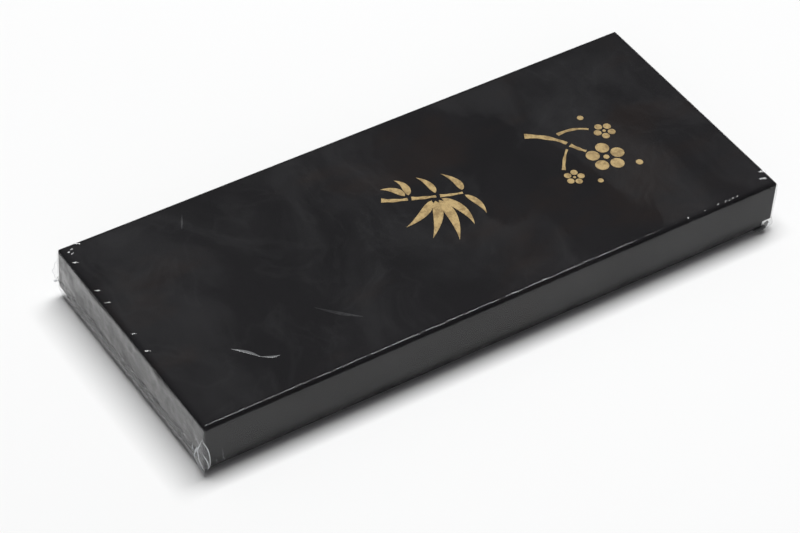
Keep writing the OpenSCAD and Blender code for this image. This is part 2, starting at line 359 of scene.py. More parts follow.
def clinging_band(look, patches, cling):
    """1 over most of the lid, falling by cling in a slanted band with ragged borders, where the film
    lies tight on the paper and looks clearer."""
    across_x, across_y, band_at = 0.906, 0.423, 0.0295
    core, border, raggedness = 0.0095, 0.0150, 0.09
    x, y = look.axes()
    across = look.maths("MULTIPLY_ADD", x, across_x, -band_at)
    across = look.maths("MULTIPLY_ADD", y, across_y, across)
    ragged = look.maths("MULTIPLY_ADD", look.maths("SUBTRACT", patches, 0.5), raggedness, across)
    inside = look.spread(look.maths("ABSOLUTE", ragged), core, border, 1.0, 0.0)
    return look.maths("MULTIPLY_ADD", inside, -cling, 1.0)


def film_material(name, haze_low, haze_high, gloss, roughness, opaque=0.0, loose=1.15, cling=0.0):
    """Clear shrink film. It is see-through, mirrors more at a slant, and has a faint cloudy haze with
    threads in it. The haze thins out along the lid's edges and is full again on the walls. gloss
    scales the mirror and loose does so at the box's ends. opaque darkens what shows through."""
    look = Look(name)
    fold = look.stretched((26.0, 15.0, 30.0), warp=(30.0, 0.022), turn=math.radians(-28))
    patches = look.noise(1.0, 5.0, 0.6, fold, 0.6)
    veins = look.noise(1.7, 4.0, 0.55, fold, 0.8)
    ridge = look.maths("ABSOLUTE", look.maths("SUBTRACT", veins, 0.5))
    thread = look.spread(ridge, 0.0, 0.03, 1.0, 0.0)
    dust = look.noise(1500, 2.0, 0.6)
    cloud = look.spread(patches, 0.4, 0.62)
    haze = look.maths("MULTIPLY_ADD", cloud, haze_high - haze_low, haze_low)
    haze = look.maths("MULTIPLY_ADD", thread, 0.3 * (haze_high - haze_low), haze)
    haze = look.maths("MULTIPLY", haze, look.spread(dust, 0.3, 0.7, 0.93, 1.07))
    haze = look.maths("MULTIPLY", haze, clinging_band(look, patches, cling))
    x, y = look.axes()
    from_end = look.maths("SUBTRACT", HALF_L, look.maths("ABSOLUTE", x))
    from_side = look.maths("SUBTRACT", HALF_W, look.maths("ABSOLUTE", y))
    from_edge = look.maths("MINIMUM", from_end, from_side)
    tight = look.spread(from_edge, 0.0008, 0.0022, 0.1, 1.0)
    walls = look.spread(from_edge, 0.0001, 0.0004, 1.0, 0.0)
    haze = look.maths("MULTIPLY", haze, look.maths("MAXIMUM", tight, walls))
    ripple = look.bump(look.noise(240, 2.0, 0.5), 0.12, 0.00006)
    facing = look.add("ShaderNodeLayerWeight", Blend=0.5, Normal=ripple).outputs["Facing"]
    slant = look.maths("POWER", facing, 5.0)
    mirror = look.maths("MULTIPLY_ADD", slant, 0.96, 0.04)
    mirror = look.maths("MULTIPLY", mirror, look.spread(from_end, 0.0002, 0.0005, loose, gloss))
    clear = look.add("ShaderNodeBsdfTransparent", Color=(1 - opaque, 1 - opaque, 1 - opaque, 1.0))
    milk = look.add("ShaderNodeBsdfDiffuse", Color=(0.86, 0.88, 0.9, 1.0))
    shine = look.add("ShaderNodeBsdfGlossy", Roughness=roughness, Normal=ripple)
    return look.shade(look.blend(mirror, look.blend(haze, clear, milk), shine))


def gold_foil(name, warm):
    """Hot-stamped gold: a dull metallic tan, slightly uneven, with pinholes towards the paper."""
    look = Look(name)
    blotch = look.noise(420, 3.0, 0.6)
    speck = look.noise(4200, 2.0, 0.6)
    bright, dull = (0.50, 0.36, 0.155), (0.31, 0.21, 0.085)
    wear = look.maths("MULTIPLY_ADD", look.noise(1500, 2.0, 0.6), 0.4, look.maths("MULTIPLY", blotch, 0.6))
    colour = look.colour(look.spread(wear, 0.38, 0.58), tuple(c * warm for c in dull),
                         tuple(c * warm for c in bright))
    colour = look.colour(look.spread(speck, 0.24, 0.32, 1.0, 0.0), colour, (0.12, 0.08, 0.04))
    return look.finish(Base_Color=colour, Metallic=0.25,
                       Roughness=look.spread(blotch, 0.3, 0.7, 0.38, 0.52),
                       Normal=look.bump(speck, 0.25, 0.00003))


def board_material(name, light, dark):
    """Grey chipboard: flecks of recycled fibre."""
    look = Look(name)
    fleck = look.noise(1400, 4.0, 0.7, look.stretched((1.0, 2.2, 1.0)))
    colour = look.colour(look.spread(fleck, 0.35, 0.65), dark, light)
    return look.finish(Base_Color=colour, Roughness=0.92,
                       Normal=look.bump(fleck, 0.5, 0.00008))


def lining_material():
    """Off-white lining paper with a soft laid grain."""
    look = Look("lining_paper")
    grain = look.noise(1900, 3.0, 0.6, look.stretched((1.0, 3.0, 1.0)))
    colour = look.colour(look.spread(grain, 0.3, 0.7), (0.76, 0.73, 0.66), (0.86, 0.84, 0.78))
    return look.finish(Base_Color=colour, Roughness=0.88, Normal=look.bump(grain, 0.3, 0.00005))


def foam_material():
    """White expanded foam with closed cells."""
    look = Look("foam")
    cell = look.cells(900)
    colour = look.colour(look.spread(cell, 0.1, 0.6), (0.8, 0.8, 0.77), (0.9, 0.9, 0.87))
    return look.finish(Base_Color=colour, Roughness=0.8, Normal=look.bump(cell, 0.5, 0.0001))


def satin_material():
    """Golden satin: long warp floats that shine across the weave, with a slight painted shade in the dips of
    the weave.
    """
    look = Look("satin")
    warp = look.wave(1250, "Y", 0.6)
    weft = look.wave(640, "X", 0.8)
    slub = look.noise(260, 3.0, 0.6, look.stretched((0.25, 2.5, 1.0)))
    weave = look.maths("MULTIPLY_ADD", weft, 0.35, warp)
    colour = look.colour(look.spread(slub, 0.3, 0.7), (0.5, 0.29, 0.055), (0.66, 0.41, 0.1))
    # Painted shade: the colour is darker in the weave's dips, where the bump below lies low.
    colour = look.colour(look.spread(weave, 0.1, 0.5, 0.35, 0.0), colour, (0.3, 0.16, 0.03))
    return look.finish(Base_Color=colour, Roughness=look.spread(slub, 0.3, 0.7, 0.3, 0.42),
                       Normal=look.bump(weave, 0.35, 0.00005), Sheen_Weight=0.4,
                       Anisotropic=0.5, Specular_IOR_Level=0.6)


def ribbon_material():
    """Red ribbed ribbon: fine ribs across, with firm edges."""
    look = Look("ribbon")
    rib = look.wave(900, "Y", 0.2)
    thread = look.wave(2100, "X", 0.3)
    slub = look.noise(500, 3.0, 0.6)
    # Painted light and shade on the ribs: the colour is darker in their dips and lighter on their crests,
    # following the bump height.
    colour = look.colour(rib, (0.2, 0.008, 0.014), (0.42, 0.022, 0.035))
    colour = look.colour(look.spread(slub, 0.3, 0.7, 0.0, 0.3), colour, (0.5, 0.04, 0.05))
    height = look.maths("MULTIPLY_ADD", thread, 0.3, rib)
    return look.finish(Base_Color=colour, Roughness=0.5, Sheen_Weight=0.35,
                       Normal=look.bump(height, 0.6, 0.00008))


def wadding_material():
    """Soft white cotton wadding."""
    look = Look("wadding")
    fluff = look.noise(700, 5.0, 0.65, distortion=1.2)
    colour = look.colour(look.spread(fluff, 0.3, 0.7), (0.72, 0.71, 0.67), (0.88, 0.87, 0.84))
    return look.finish(Base_Color=colour, Roughness=0.95, Sheen_Weight=0.5,
                       Normal=look.bump(fluff, 0.8, 0.0003))


def ink_material():
    """Pressed soot and glue: near black with a bluish bloom, waxy where it was handled."""
    look = Look("ink")
    bloom = look.noise(120, 4.0, 0.6)
    grain = look.noise(2600, 3.0, 0.6)
    colour = look.colour(look.spread(bloom, 0.3, 0.7), (0.012, 0.012, 0.015), (0.022, 0.022, 0.027))
    return look.finish(Base_Color=colour, Roughness=look.spread(bloom, 0.3, 0.7, 0.33, 0.5),
                       Normal=look.bump(grain, 0.25, 0.00005), Specular_IOR_Level=0.5)


def gold_paint():
    """Hand-brushed gold paint in the stick's panel."""
    look = Look("gold_paint")
    stroke = look.noise(700, 3.0, 0.6, look.stretched((1.0, 3.5, 1.0)))
    colour = look.colour(look.spread(stroke, 0.3, 0.7), (0.5, 0.32, 0.1), (0.78, 0.56, 0.22))
    return look.finish(Base_Color=colour, Metallic=0.7, Roughness=look.spread(stroke, 0.3, 0.7, 0.3, 0.5),
                       Normal=look.bump(stroke, 0.3, 0.00005))


def floor_material():
    """A plain white table."""
    look = Look("white_table")
    tone = look.noise(3.0, 2.0)
    colour = look.colour(look.spread(tone, 0.3, 0.7), (0.87, 0.873, 0.87), (0.885, 0.888, 0.885))
    return look.finish(Base_Color=colour, Roughness=0.9, Specular_IOR_Level=0.1)


PAPER = black_paper()
FILM = film_material("shrink_film", 0.0006, 0.0058, 0.5, 0.05, cling=0.9)
CRUMPLED = film_material("crumpled_film", 0.01, 0.04, 0.5, 0.08, loose=0.4)
CREASED = film_material("creased_film", 0.45, 0.85, 1.2, 0.12)
WRINKLED = film_material("wrinkled_film", 0.08, 0.2, 0.6, 0.2)
TUCKED = film_material("tucked_film", 0.02, 0.06, 1.3, 0.08)
FAINT = film_material("faintly_creased_film", 0.006, 0.02, 0.5, 0.2)
KNOT = film_material("knotted_film", 0.05, 0.12, 0.5, 0.2, opaque=0.5, loose=0.5)
WELD = film_material("weld_bead", 0.0, 0.02, 0.7, 0.15, opaque=0.16)
FOIL_NEAR, FOIL_FAR = gold_foil("gold_foil_bamboo", 1.0), gold_foil("gold_foil_plum", 0.96)
BOARD = board_material("grey_board", (0.42, 0.39, 0.34), (0.3, 0.28, 0.24))
STAY = board_material("stay_paper", (0.5, 0.36, 0.2), (0.38, 0.26, 0.14))
LINING, FOAM, SATIN = lining_material(), foam_material(), satin_material()
RIBBON, WADDING, INK, PAINT = ribbon_material(), wadding_material(), ink_material(), gold_paint()

# -------- film


def top_height(co, normal):
    """How far the upper film stands off, in metres, at a point of its smooth shape: low waves all
    over, fine ripples along the right part of the near edge, and looser waves on the end walls."""
    height = 0.030 * fbm(co, 30 * MM) + 0.008 * fbm(co + Vector((0.3, 0, 0)), 9 * MM)
    front = smooth_step(1.6, 0.2, (HALF_W + co.y) / MM) * smooth_step(0.1, 0.5, normal.z)
    ripple = 0.3 + 1.4 * smooth_step(0.064, 0.066, co.x) * smooth_step(0.074, 0.072, co.x)
    ripple *= smooth_step(-0.012, 0.0, co.x) * smooth_step(-0.1, 0.25, fbm(Vector((co.x, 0.4, 0)), 9 * MM))
    height += 0.025 * min(ripple, 1.0) * front * (1 + math.sin(co.x / (0.55 * MM)))
    wall = 1 - smooth_step(0.05, 0.4, normal.z)
    end_wall = wall * smooth_step(0.6, 0.95, abs(normal.x))
    ripples = 0.3 * fbm(Vector((co.x, co.y * 0.8, co.z * 1.2)), 9 * MM)
    ripples += 0.1 * fbm(Vector((co.x, co.y * 2.2, co.z * 0.7)), 4 * MM)
    height += end_wall * (max(ripples, -0.1) + 0.06) * smooth_step(TOP_Z, TOP_Z - 2.5 * MM, co.z)
    return height * MM


def edge_section():
    """The film's section over an edge, as (out, z) from the flat top to the wall."""
    points = [(0.0, 0.0)]
    for radius, start, end, steps in EDGE:
        r, a = radius * MM, math.radians(start)
        centre = (points[-1][0] - r * math.cos(a), points[-1][1] - r * math.sin(a))
        points += arc(centre, r, start, end, steps)[1:]
    return [(out - points[-1][0], TOP_Z + z) for out, z in points]


def upper_film():
    section = edge_section()
    width = -section[0][0]
    rings = [(HALF_L - width, HALF_W - width, 0.0, TOP_Z)]
    for out, z in section[1:]:
        rings.append((HALF_L + out, HALF_W + out, UPRIGHT_R * (1 + out / width), z))
    for _, z in line((0, section[-1][1]), (0, SEAM_Z - 0.01 * MM), 0.6 * MM):
        rings.append((HALF_L, HALF_W, UPRIGHT_R, z))
    bm = skin(rings, *FILM_CELLS, cap_first=True)
    displace(bm, top_height)
    return piece("shrink_film_upper", bm, FILM, "film", ["film_upper"], thickness=FILM_T)


def lower_height(co, normal):
    """How far the lower film stands off its smooth shape: waves on its walls, most on the end walls,
    and a bulge at the near right corner."""
    if normal.z < -0.5 and co.z < 1 * MM:
        return 0.0
    high = smooth_step(0.5, 2.5, co.z / MM) * (1 - smooth_step(5.6, 6.5, co.z / MM))
    ends = smooth_step(0.6, 0.95, abs(normal.x))
    ripples = 0.12 * fbm(Vector((co.x, co.y, co.z * 0.6)), 5 * MM) + 0.05 * fbm(co, 1.6 * MM)
    right = math.hypot(HALF_L - co.x, HALF_W + co.y) / MM
    lump = 0.8 * math.exp(-(right / 3.2) ** 2) * smooth_step(0.4, 1.3, co.z / MM)
    return (high * ripples * (0.35 + 0.65 * ends) + lump * smooth_step(4.5, 2.5, co.z / MM)) * MM


def lower_film():
    """Flat under the base, then drawn up from its foot to the lid's rim, and up to the weld."""
    foot_r, step = 0.35 * MM, 0.75 * MM
    floor_z = tray_lo.z + 0.02 * MM
    rim = lid_lo.z
    rings = [(HALF_L - step - foot_r, HALF_W - step - foot_r, 0.0, floor_z)]
    for out, z in arc((-step - foot_r, floor_z + foot_r), foot_r, -90, 0, 5)[1:]:
        rings.append((HALF_L + out, HALF_W + out, out + step + foot_r, z))
    path = []
    for i in range(1, 15):
        z = floor_z + foot_r + (rim + 0.2 * MM - floor_z - foot_r) * i / 14
        path.append((-step * (1 - smooth_step(floor_z, rim + 0.1 * MM, z)), z))
    path += line(path[-1], (0.0, SEAM_Z + 0.01 * MM), 0.5 * MM)
    for out, z in path:
        widen = (out + step) / step
        rings.append((HALF_L + out, HALF_W + out, foot_r + (UPRIGHT_R - foot_r) * widen, z))
    bm = skin(rings, *FILM_CELLS, cap_first=True, flip=True)
    displace(bm, lower_height)
    return piece("shrink_film_lower", bm, FILM, "base", ["film_lower"], thickness=FILM_T)


def tube(bm, points, radii, flat=1.0, sides=8):
    """Adds a tube along points with the given radii, flattened upwards by flat."""
    rows = []
    for i, p in enumerate(points):
        ahead = (points[min(i + 1, len(points) - 1)] - points[max(i - 1, 0)]).normalized()
        lean = Vector((0, 0, 1)) if abs(ahead.z) < 0.8 else Vector((0.6, 0.8, 0))
        side = ahead.cross(lean).normalized()
        up = side.cross(ahead)
        rows.append([bm.verts.new(p + side * math.cos(a) * radii[i] + up * math.sin(a) * radii[i] * flat)
                     for a in (2 * math.pi * k / sides for k in range(sides))])
    for a, b in zip(rows, rows[1:]):
        for k in range(sides):
            n = (k + 1) % sides
            bm.faces.new((a[k], a[n], b[n], b[k]))
    bm.faces.new(rows[0][::-1])
    bm.faces.new(rows[-1])


def curve(points, steps=8):
    """A smooth curve through tuples of any length."""
    ends = [tuple(2 * a - b for a, b in zip(points[0], points[1])), *points,
            tuple(2 * a - b for a, b in zip(points[-1], points[-2]))]
    result = []
    for i in range(1, len(ends) - 2):
        p0, p1, p2, p3 = ends[i - 1:i + 3]
        for k in range(steps):
            t = k / steps
            result.append(tuple(0.5 * (2 * b + (c - a) * t + (2 * a - 5 * b + 4 * c - d) * t * t
                                       + (3 * b - a - 3 * c + d) * t ** 3)
                                for a, b, c, d in zip(p0, p1, p2, p3)))
    result.append(tuple(points[-1]))
    return result


def fold(bm, points, thick):
    """Adds a folded edge of film, thick across, that tapers to both ends."""
    radii = [0.5 * thick * (0.15 + 0.85 * math.sin(math.pi * (i + 0.3) / (len(points) - 0.4)))
             for i in range(len(points))]
    tube(bm, points, radii)


def closed(bm):
    bmesh.ops.recalc_face_normals(bm, faces=bm.faces)
    return bm


def fold_set(name, folds, material):
    """A piece made of folds, each given as points and thickness."""
    bm = bmesh.new()
    for points, thick in folds:
        fold(bm, points, thick)
    return piece(name, closed(bm), material, "base")


def loose_skin(name, rows):
    """A free sheet of film through rows of points."""
    bm = bmesh.new()
    join_rows(bm, [[bm.verts.new(p) for p in row] for row in rows])
    return piece(name, cleaned(bm, 5e-6), CRUMPLED, "base", thickness=LOOSE_FILM_T)


def weld_bead():
    """The weld runs round both ends and the far side. The near side is the fold of the film."""
    loop = ring(HALF_L + 0.08 * MM, HALF_W + 0.08 * MM, UPRIGHT_R, SEAM_Z, *WELD_CELLS)
    kept = [p for p in loop if p.y > -HALF_W + 0.6 * MM]
    start = min(range(len(kept)), key=lambda i: (kept[i].x < 0, kept[i].y))
    path = kept[start:] + kept[:start]
    points, radii = [], []
    for i, p in enumerate(path):
        drift = 0.6 * fbm(p, 16 * MM) + 0.3 * fbm(p, 4 * MM) + 0.2 * fbm(p, 1.3 * MM)
        points.append(p + Vector((0, 0, drift * MM)))
        ends = min(i, len(path) - 1 - i)
        radii.append((0.2 + 0.22 * fbm(p, 2.2 * MM)) * MM * smooth_step(-1, 6, ends))
    bm = bmesh.new()
    tube(bm, points, radii, 0.7)
    return piece("shrink_film_weld", closed(bm), WELD, "base")


def round_corner(sx, sy, along, z, off):
    """A point on the box near a corner: along < 0 on the end wall, > 0 on the side wall, off stands
    out from it. along, z and off are in millimetres."""
    turn = smooth_step(-1.2, 1.2, along) * math.pi / 2
    outwards = Vector((sx * math.cos(turn), sy * math.sin(turn), 0))
    base = Vector((sx * (HALF_L - max(along, 0) * MM), sy * (HALF_W - max(-along, 0) * MM), z * MM))
    return base + outwards * off * MM


# The gathered film at the near left corner, as folds through (along, z, off) in mm
NEAR_FOLDS = [
    [(-0.6, 13.2, 0.1), (0.25, 11.8, 0.3), (1.2, 8.6, 0.4), (1.7, 5.1, 0.3), (1.7, 2.8, 0.0),
     (1.0, 1.0, -0.4)],
    [(-0.6, 13.2, 0.1), (-1.6, 10.0, 0.4), (-2.9, 7.2, 0.4), (-4.0, 4.6, 0.3), (-2.7, 2.8, 0.1),
     (-0.9, 1.7, 0.0), (0.8, 0.9, -0.4)],
    [(-1.2, 10.6, 0.3), (-1.8, 8.7, 0.6), (-1.4, 6.5, 0.7), (-0.3, 4.4, 0.6), (0.4, 2.2, 0.3)],
    [(-0.1, 8.8, 0.5), (0.5, 6.8, 0.7), (1.0, 4.4, 0.6), (1.2, 2.2, 0.2)],
    [(-3.0, 8.4, 0.1), (-3.6, 6.6, 0.3), (-4.2, 5.1, 0.1)],
    [(-1.7, 9.7, 0.3), (-2.5, 8.1, 0.5), (-2.6, 6.6, 0.3)],
    [(-5.5, 7.0, 0.05), (-5.1, 6.2, 0.2), (-4.9, 5.5, 0.05)],
]


def gathered_corner(name, sx, sy, folds, thick):
    """The film's surplus at a corner, pleated into a leaf: its folds, and the skin between them."""
    fold_set(name + "_folds", [([round_corner(sx, sy, *p) for p in curve(points)], thick * MM)
                               for points in folds], CREASED)
    right, left = curve(folds[0]), curve(folds[1])
    down, columns = 30, 12
    rows = []
    for i in range(down + 1):
        t = i / down
        a = right[min(round(t * (len(right) - 1)), len(right) - 1)]
        b = left[min(round(t * (len(left) - 1)), len(left) - 1)]
        row = []
        for k in range(columns + 1):
            u = k / columns
            swell = 0.35 * math.sin(math.pi * u) * math.sin(math.pi * t)
            pleat = 0.1 * math.sin(5 * math.pi * u + 3 * t) * math.sin(math.pi * u)
            point = tuple(q + (w - q) * u for q, w in zip(a, b))
            row.append(round_corner(sx, sy, point[0], point[1], point[2] + swell + pleat))
        rows.append(row)
    return loose_skin(name + "_skin", rows)


def right_lump():
    """A small knot of film under the lid's rim at the near right corner."""
    bm = bmesh.new()
    path = curve([(0.4, 2.7, -0.8), (1.6, 2.4, -0.3), (2.9, 1.9, 0.0), (4.3, 1.5, -0.2), (5.6, 1.3, -0.8)])
    points = [round_corner(1, -1, *p) for p in path]
    radii = [(0.2 + 0.4 * math.sin(math.pi * (i + 0.5) / len(points)) + 0.08 * math.sin(5 * i)) * MM
             for i in range(len(points))]
    tube(bm, points, radii, 1.0, 10)
    return piece("film_lump_right", closed(bm), KNOT, "base")


def corner_ear(name, sx, sy):
    """A flat tail of film that stands out from a far corner, from just under the weld upwards."""
    outwards = Vector((sx, sy, 0)).normalized()
    foot = Vector((sx * (HALF_L - 0.1 * MM), sy * (HALF_W - 0.1 * MM), 0))
    low, high = SEAM_Z / MM - 1.2, SEAM_Z / MM + 6.3
    up, out = 26, 6
    rows = []
    for i in range(up + 1):
        t = i / up
        reach = (1.2 * math.sin(math.pi * t ** 0.8) ** 0.8 + 0.2 * math.sin(17 * t) * math.sin(math.pi * t))
        z = low + (high - low) * t
        row = []
        for k in range(out + 1):
            u = k / out
            sway = 0.16 * math.sin(9 * t + 3 * u) * u
            across = Vector((-outwards.y, outwards.x, 0)) * sway * MM
            row.append(foot + outwards * reach * u * MM + across + Vector((0, 0, z * MM)))
        rows.append(row)
    loose_skin(name + "_skin", rows)
    rim = [row[-1] for row in rows]
    knot = [foot + outwards * (0.1 + 0.35 * k) * MM
            + Vector((0, 0, SEAM_Z - (1.2 - 0.2 * math.sin(2 * k)) * MM)) for k in range(4)]
    return fold_set(name + "_folds", [(rim, 0.1 * MM), (knot, 0.7 * MM)], CREASED)


# Small tucks in the film over the lid, in mm
TUCK_IN = 1.5                          # in from the left end, or from the far side
LEFT_TUCKS = (30, 18, 13, 0, -7)       # y along the left end
FRONT_TUCKS = (13, 26, 60, 70, 72.5, 74, 75, 76.5)   # x along the near side
LEFT_CORNER_TUCKS = ((2, 3), (3, 2.5), (2.5, 4))     # in from the left end and the far side
RIGHT_CORNER_TUCKS = ((1.5, 5.5), (3, 3))            # in from the right end and the near side
LEFT_TILT = (0.08, 0.28)               # rise along X and Y
RIGHT_TILT = (0.25, 0.22)
SLANT = -29                            # heading of the slanting tucks, in degrees


def tuck_list():
    """Each tuck as centre x and y, length, width, rise along X and Y, and heading."""
    end, side = HALF_L / MM, HALF_W / MM
    tucks = [(TUCK_IN - end, y, 1.6, 0.4, *LEFT_TILT, SLANT) for y in LEFT_TUCKS]
    tucks += [(x - end, side - y, 0.8, 0.4, *LEFT_TILT, 0) for x, y in LEFT_CORNER_TUCKS]
    tucks.append((5.5 - end, side - TUCK_IN, 1.7, 0.4, *LEFT_TILT, SLANT))
    tucks += [(x, 1.1 - side, 0.55, 0.38, *RIGHT_TILT, 0) for x in FRONT_TUCKS]
    tucks += [(end - x, y - side, 2, 0.5, *RIGHT_TILT, SLANT) for x, y in RIGHT_CORNER_TUCKS]
    return tucks


# Long wrinkles over the lid, each a curve through x, y and width in mm
WRINKLES = [
    [(-70, -17, 0.1), (-67, -20, 0.9), (-65, -23, 0.2)],
    [(-65, -23, 0.1), (-62.5, -24.5, 0.65), (-60.5, -25, 0.1)],
]
FAINT_WRINKLES = [
    [(-44, -15, 0.1), (-39.5, -20, 1.1), (-35, -24, 0.1)],
    [(-55.5, 32, 0.05), (-57, 29.5, 0.5), (-58.5, 27, 0.05)],
]


def flap(bm, x, y, length, width, rise_x, rise_y, heading):
    """Adds a small tilted flap of film that stands on the lid's film, with closed sides."""
    nx, ny = 8, 4
    ahead_x, ahead_y = math.cos(math.radians(heading)), math.sin(math.radians(heading))
    top, low = [], []
    for i in range(nx + 1):
        u = 2 * i / nx - 1
        half = 0.5 * width * (0.25 + 0.75 * math.sqrt(max(1 - u * u, 0)))
        top.append([])
        low.append([])
        for k in range(ny + 1):
            v = 2 * k / ny - 1
            along, aside = u * length / 2, v * half
            dx, dy = along * ahead_x - aside * ahead_y, along * ahead_y + aside * ahead_x
            lift = rise_x * dx + rise_y * dy - 0.02 * (u * u + 2 * v * v) * width
            lift += abs(rise_x) * length / 2 + abs(rise_y) * width / 2 + 0.06 * width
            place = Vector((x + dx, y + dy + 0.05 * math.sin(3 * u), 0)) * MM
            top[-1].append(bm.verts.new(place + Vector((0, 0, TOP_Z + max(lift, 0.01) * MM))))
            low[-1].append(bm.verts.new(place + Vector((0, 0, TOP_Z - 0.02 * MM))))
    for i in range(nx):
        for k in range(ny):
            bm.faces.new((top[i][k], top[i + 1][k], top[i + 1][k + 1], top[i][k + 1]))
            bm.faces.new((low[i][k], low[i][k + 1], low[i + 1][k + 1], low[i + 1][k]))
        bm.faces.new((top[i][0], low[i][0], low[i + 1][0], top[i + 1][0]))
        bm.faces.new((top[i][ny], top[i + 1][ny], low[i + 1][ny], low[i][ny]))
    for k in range(ny):
        bm.faces.new((top[0][k], top[0][k + 1], low[0][k + 1], low[0][k]))
        bm.faces.new((top[nx][k], low[nx][k], low[nx][k + 1], top[nx][k + 1]))


def lens(bm, centre_line, widths, height, z):
    """Adds a low closed ridge along centre_line, widths across and height tall."""
    across = 8
    rows, keels = [], []
    n = len(centre_line)
    for i, p in enumerate(centre_line):
        ahead = (centre_line[min(i + 1, n - 1)] - centre_line[max(i - 1, 0)]).normalized()
        side = Vector((-ahead.y, ahead.x, 0))
        swell = height * widths[i] / max(widths)
        row = []
        for k in range(across + 1):
            u = 2 * k / across - 1
            row.append(bm.verts.new(p + side * u * widths[i] / 2 + Vector((0, 0, z + swell * (1 - u * u)))))
        rows.append(row)
        keels.append(bm.verts.new(p + Vector((0, 0, z - 0.02 * MM))))
    for i in range(n - 1):
        for k in range(across):
            bm.faces.new((rows[i][k], rows[i][k + 1], rows[i + 1][k + 1], rows[i + 1][k]))
        bm.faces.new((rows[i][0], rows[i + 1][0], keels[i + 1], keels[i]))
        bm.faces.new((rows[i][-1], keels[i], keels[i + 1], rows[i + 1][-1]))
    bm.faces.new(rows[0] + [keels[0]])
    bm.faces.new(rows[-1][::-1] + [keels[-1]])


def wrinkle_set(name, wrinkles, material, height):
    bm = bmesh.new()
    for wrinkle in wrinkles:
        smooth = curve(wrinkle)
        points = [Vector((x * MM, y * MM, 0)) for x, y, _ in smooth]
        lens(bm, points, [max(w, 0.05) * MM for _, _, w in smooth], height * MM, TOP_Z + 0.01 * MM)
    return piece(name, closed(bm), material, "film")


def film_wrinkles():
    """The small bright tucks by the lid's edges, and the pale curved wrinkles over it."""
    bm = bmesh.new()
    for tuck in tuck_list():
        flap(bm, *tuck)
    piece("film_tucks", closed(bm), TUCKED, "film")
    wrinkle_set("film_wrinkles", WRINKLES, WRINKLED, 0.07)
    wrinkle_set("film_faint_wrinkles", FAINT_WRINKLES, FAINT, 0.006)


def side_wrinkle():
    """Two short upright wrinkles on the near side, by the near left corner."""
    paths = ([(5.2, 8.0, 0.0), (5.5, 5.6, 0.06), (5.8, 3.9, 0.1), (6.3, 2.4, 0.0)],
             [(3.6, 4.6, 0.0), (3.8, 3.8, 0.05), (3.9, 3.0, 0.0)])
    return fold_set("film_side_wrinkle", [([round_corner(-1, -1, *p) for p in curve(points)], 0.2 * MM)
                                          for points in paths], WRINKLED)


upper_film()
lower_film()
weld_bead()
gathered_corner("film_gather_near", -1, -1, NEAR_FOLDS, 0.27)
right_lump()
corner_ear("film_ear_left", -1, 1)
corner_ear("film_ear_far", 1, 1)
film_wrinkles()
side_wrinkle()

# -------- box papers


def lid_relief(co, normal):
    """The end flaps of the covering paper lie over the side flaps and stand a little proud."""
    height = 0.006 * fbm(co, 12 * MM)
    if abs(normal.x) > 0.8 and abs(co.x) > LID_IN_X:
        height += 0.05 * (1 - smooth_step(lid_hi.y - 2.2 * MM, lid_hi.y - 1.9 * MM, abs(co.y)))
    return height * MM


def over_rim(start, rim, wall, side):
    """A paper's path (out, z) along a wall from start, round its rim and back inside. wall is the
    wall's thickness. side is 1 for a rim at the wall's foot and -1 for one at its top."""
    bend = rim + side * FOLD_R
    path = line((0, start), (0, bend), 1.0 * MM)
    path += arc((-FOLD_R, bend), FOLD_R, 0, -90 * side, 4)[1:]
    path += line((-FOLD_R, rim), (-wall + FOLD_R, rim), 0.3 * MM)
    path += arc((-wall + FOLD_R, bend), FOLD_R, -90 * side, -180 * side, 4)[1:]
    return path + line((-wall, bend), (-wall, rim + side * TURN_IN), 1.0 * MM)


def lid_paper():
    """One sheet over the lid, down its walls, round the rim and up inside."""
    r, corner = 0.8 * MM, UPRIGHT_R - 0.1 * MM
    hx, hy, top, rim = lid_hi.x, lid_hi.y, lid_hi.z, lid_lo.z
    rings = [(hx - r, hy - r, 0.0, top)]
    for out, z in arc((-r, top - r), r, 90, 0, 8)[1:]:
        rings.append((hx + out, hy + out, corner * (1 + out / r), z))
    for out, z in over_rim(top - r, rim, hx - (LID_IN_X - PAPER_T), 1):
        rings.append((hx + out, hy + out, max(corner + out, 0.15 * MM), z))
    bm = skin(rings, *LID_PAPER_CELLS, cap_first=True)
    displace(bm, lid_relief)
    return piece("lid_covering_paper", bm, PAPER, "lid", ["lid_wrap_paper"],
                 thickness=PAPER_T * 0.9)


def base_paper():
    """One sheet under the base, up its walls, over the rim and down inside."""
    r = 0.5 * MM
    hx, hy, foot, rim = base_hi.x, base_hi.y, base_lo.z, base_hi.z
    rings = [(hx - r, hy - r, 0.0, foot)]
    for out, z in arc((-r, foot + r), r, -90, 0, 5)[1:]:
        rings.append((hx + out, hy + out, max(r + out, 0.0), z))
    for out, z in over_rim(foot + r, rim, hx - (BASE_IN_X - PAPER_T), -1):
        rings.append((hx + out, hy + out, max(r + out, 0.15 * MM), z))
    bm = skin(rings, *BASE_PAPER_CELLS, cap_first=True, flip=True)
    return piece("base_covering_paper", bm, PAPER, "base", ["base_wrap_paper"],
                 thickness=PAPER_T * 0.9)


lid_paper()
base_paper()

# -------- insert


def satin_height(co, normal):
    """Soft pulls in the satin, strongest near the well's corners."""
    height = 0.05 * fbm(Vector((co.x * 0.6, co.y * 1.4, co.z)), 9 * MM)
    for sx in (-1, 1):
        for sy in (-1, 1):
            dx, dy = sx * co.x - WELL_X, sy * co.y - WELL_Y
            reach = math.hypot(dx, dy)
            if reach < 14 * MM:
                pleat = math.sin(11 * math.atan2(dy, dx) + sx + 2 * sy)
                height += 0.09 * pleat * math.exp(-reach / (5 * MM)) * smooth_step(0.3, 2, reach / MM)
    return height * MM * smooth_step(0.2, 0.8, normal.z)


